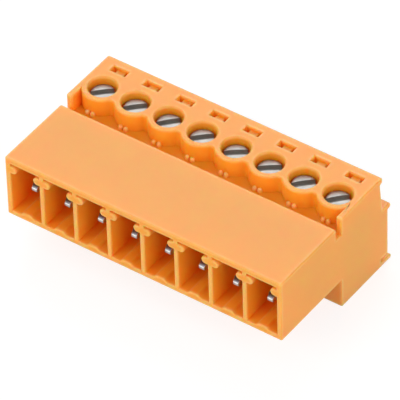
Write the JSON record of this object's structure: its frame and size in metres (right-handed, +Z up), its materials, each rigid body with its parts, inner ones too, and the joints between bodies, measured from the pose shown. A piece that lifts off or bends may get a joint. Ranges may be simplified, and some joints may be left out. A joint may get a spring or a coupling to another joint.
{
  "type": "pluggable terminal block",
  "caption": "Inverted pluggable terminal block: pins in a shroud plug into a board connector, and screw clamps behind them take wires from the rear.",
  "frame": {"origin": "middle of the bounding box at its underside, which is the underside of the clamp block", "axes": "+X along the row of poles, -Y out of the mating face, +Y out of the wire entries, +Z up, the way the screws face"},
  "size_m": [0.031, 0.018, 0.011],
  "materials": {
    "orange_plastic": "moulded polyamide, fine matte texture",
    "tinned_contact": "tin plating on a copper alloy",
    "plated_yoke": "nickel plating",
    "plated_screw": "zinc plating"
  },
  "bodies": {
    "housing": {"housing": "orange_plastic", "contact_pin_1": "tinned_contact", "contact_pin_2": "tinned_contact", "contact_pin_3": "tinned_contact", "contact_pin_4": "tinned_contact", "contact_pin_5": "tinned_contact", "contact_pin_6": "tinned_contact", "contact_pin_7": "tinned_contact", "contact_pin_8": "tinned_contact"},
    "screw_1": {"clamp_screw_1": "plated_screw"},
    "yoke_1": {"clamp_yoke_1": "plated_yoke"},
    "screw_2": {"clamp_screw_2": "plated_screw"},
    "yoke_2": {"clamp_yoke_2": "plated_yoke"},
    "screw_3": {"clamp_screw_3": "plated_screw"},
    "yoke_3": {"clamp_yoke_3": "plated_yoke"},
    "screw_4": {"clamp_screw_4": "plated_screw"},
    "yoke_4": {"clamp_yoke_4": "plated_yoke"},
    "screw_5": {"clamp_screw_5": "plated_screw"},
    "yoke_5": {"clamp_yoke_5": "plated_yoke"},
    "screw_6": {"clamp_screw_6": "plated_screw"},
    "yoke_6": {"clamp_yoke_6": "plated_yoke"},
    "screw_7": {"clamp_screw_7": "plated_screw"},
    "yoke_7": {"clamp_yoke_7": "plated_yoke"},
    "screw_8": {"clamp_screw_8": "plated_screw"},
    "yoke_8": {"clamp_yoke_8": "plated_yoke"}
  },
  "joints": [
    {"name": "yoke_1_lift", "type": "slide", "parent": "housing", "child": "yoke_1", "axis": [0, 0, 1], "range_m": [0, 0.0021]},
    {"name": "screw_1_turn", "type": "hinge", "parent": "housing", "child": "screw_1", "pos_m": [-0.01333, 0.0035, 0.00738], "axis": [0, 0, 1], "range_deg": [-1890, 0]},
    {"name": "yoke_2_lift", "type": "slide", "parent": "housing", "child": "yoke_2", "axis": [0, 0, 1], "range_m": [0, 0.0021]},
    {"name": "screw_2_turn", "type": "hinge", "parent": "housing", "child": "screw_2", "pos_m": [-0.00953, 0.0035, 0.00738], "axis": [0, 0, 1], "range_deg": [-1890, 0]},
    {"name": "yoke_3_lift", "type": "slide", "parent": "housing", "child": "yoke_3", "axis": [0, 0, 1], "range_m": [0, 0.0021]},
    {"name": "screw_3_turn", "type": "hinge", "parent": "housing", "child": "screw_3", "pos_m": [-0.00571, 0.0035, 0.00738], "axis": [0, 0, 1], "range_deg": [-1890, 0]},
    {"name": "yoke_4_lift", "type": "slide", "parent": "housing", "child": "yoke_4", "axis": [0, 0, 1], "range_m": [0, 0.0021]},
    {"name": "screw_4_turn", "type": "hinge", "parent": "housing", "child": "screw_4", "pos_m": [-0.00191, 0.0035, 0.00738], "axis": [0, 0, 1], "range_deg": [-1890, 0]},
    {"name": "yoke_5_lift", "type": "slide", "parent": "housing", "child": "yoke_5", "axis": [0, 0, 1], "range_m": [0, 0.0021]},
    {"name": "screw_5_turn", "type": "hinge", "parent": "housing", "child": "screw_5", "pos_m": [0.00191, 0.0035, 0.00738], "axis": [0, 0, 1], "range_deg": [-1890, 0]},
    {"name": "yoke_6_lift", "type": "slide", "parent": "housing", "child": "yoke_6", "axis": [0, 0, 1], "range_m": [0, 0.0021]},
    {"name": "screw_6_turn", "type": "hinge", "parent": "housing", "child": "screw_6", "pos_m": [0.00571, 0.0035, 0.00738], "axis": [0, 0, 1], "range_deg": [-1890, 0]},
    {"name": "yoke_7_lift", "type": "slide", "parent": "housing", "child": "yoke_7", "axis": [0, 0, 1], "range_m": [0, 0.0021]},
    {"name": "screw_7_turn", "type": "hinge", "parent": "housing", "child": "screw_7", "pos_m": [0.00953, 0.0035, 0.00738], "axis": [0, 0, 1], "range_deg": [-1890, 0]},
    {"name": "yoke_8_lift", "type": "slide", "parent": "housing", "child": "yoke_8", "axis": [0, 0, 1], "range_m": [0, 0.0021]},
    {"name": "screw_8_turn", "type": "hinge", "parent": "housing", "child": "screw_8", "pos_m": [0.01333, 0.0035, 0.00738], "axis": [0, 0, 1], "range_deg": [-1890, 0]}
  ],
  "couplings": [
    {"joint": "screw_1_turn", "follows": "yoke_1_lift", "rad_per_m": -15708},
    {"joint": "screw_2_turn", "follows": "yoke_2_lift", "rad_per_m": -15708},
    {"joint": "screw_3_turn", "follows": "yoke_3_lift", "rad_per_m": -15708},
    {"joint": "screw_4_turn", "follows": "yoke_4_lift", "rad_per_m": -15708},
    {"joint": "screw_5_turn", "follows": "yoke_5_lift", "rad_per_m": -15708},
    {"joint": "screw_6_turn", "follows": "yoke_6_lift", "rad_per_m": -15708},
    {"joint": "screw_7_turn", "follows": "yoke_7_lift", "rad_per_m": -15708},
    {"joint": "screw_8_turn", "follows": "yoke_8_lift", "rad_per_m": -15708}
  ]
}
